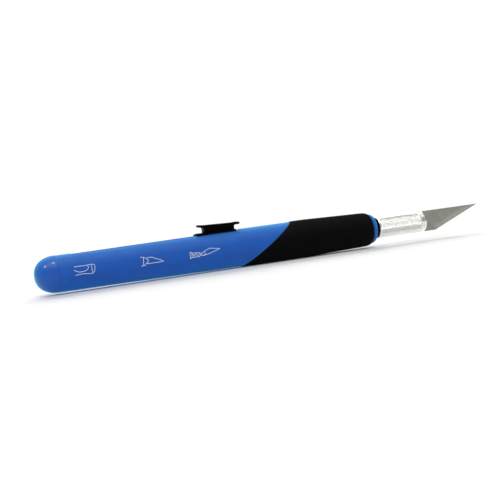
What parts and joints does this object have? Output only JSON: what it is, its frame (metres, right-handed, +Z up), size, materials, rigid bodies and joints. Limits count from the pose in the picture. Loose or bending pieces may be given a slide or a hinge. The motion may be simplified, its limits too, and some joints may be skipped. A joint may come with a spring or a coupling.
{
  "type": "hobby craft knife",
  "caption": "Slim hobby craft knife with a blue barrel, black grip, thumb slider that draws the pointed blade back inside, and a knurled chuck.",
  "frame": {"origin": "middle of the overall length and width, on the plane that the widest part of the grip touches", "axes": "+X along the barrel towards the blade's tip, +Z up through the thumb slider, +Y across to the left of a user who looks along the blade"},
  "size_m": [0.1346, 0.0108, 0.0132],
  "materials": {
    "blue_plastic": "smooth moulded plastic with a satin gloss",
    "grip_rubber": "soft matte moulded rubber",
    "inner_rubber": "matte",
    "black_plastic": "satin moulded plastic",
    "rail_steel": "stamped sheet steel",
    "rod_steel": "ground bright steel",
    "spring_steel": "blue-grey tempered strip",
    "blade_steel": "ground grey blade steel with fine lines",
    "collet_brass": "turned brass",
    "collar_aluminium": "bright aluminium with a fine diamond knurl"
  },
  "bodies": {
    "handle": {"barrel": "blue_plastic", "end_cap": "blue_plastic", "grip_sleeve": "grip_rubber", "nose_bush": "blue_plastic", "rod_ring": "inner_rubber", "lock_rail": "rail_steel", "front_bumper": "inner_rubber", "rear_bumper": "inner_rubber"},
    "carriage": {"shuttle": "black_plastic", "shuttle_pin": "rod_steel", "slide_rod": "rod_steel", "collet": "collet_brass", "collet_pin": "rod_steel", "chuck_washer": "black_plastic", "slider_base": "black_plastic", "lock_spring": "spring_steel"},
    "button": {"thumb_button": "black_plastic"},
    "chuck_ring": {"closing_ring": "rod_steel"},
    "collar": {"chuck_collar": "collar_aluminium"},
    "knife_blade": {"blade": "blade_steel"}
  },
  "joints": [
    {"name": "carriage_slide", "type": "slide", "parent": "handle", "child": "carriage", "axis": [1, 0, 0], "range_m": [-0.035, 0]},
    {"name": "button_press", "type": "slide", "parent": "carriage", "child": "button", "axis": [0, 0, -1], "range_m": [0, 0.0008], "stiffness_N_per_m": 1500, "deforming": ["lock_spring"]},
    {"name": "collar_advance", "type": "slide", "parent": "carriage", "child": "chuck_ring", "axis": [1, 0, 0], "range_m": [0, 0.00025]},
    {"name": "collar_turn", "type": "hinge", "parent": "chuck_ring", "child": "collar", "pos_m": [0.0403, 0, 0.00538], "axis": [1, 0, 0], "range_deg": [0, 180.1]},
    {"name": "blade_draw", "type": "slide", "parent": "carriage", "child": "knife_blade", "axis": [1, 0, 0], "range_m": [0, 0.022]}
  ],
  "couplings": [
    {"joint": "collar_turn", "follows": "collar_advance", "rad_per_m": 12566}
  ]
}
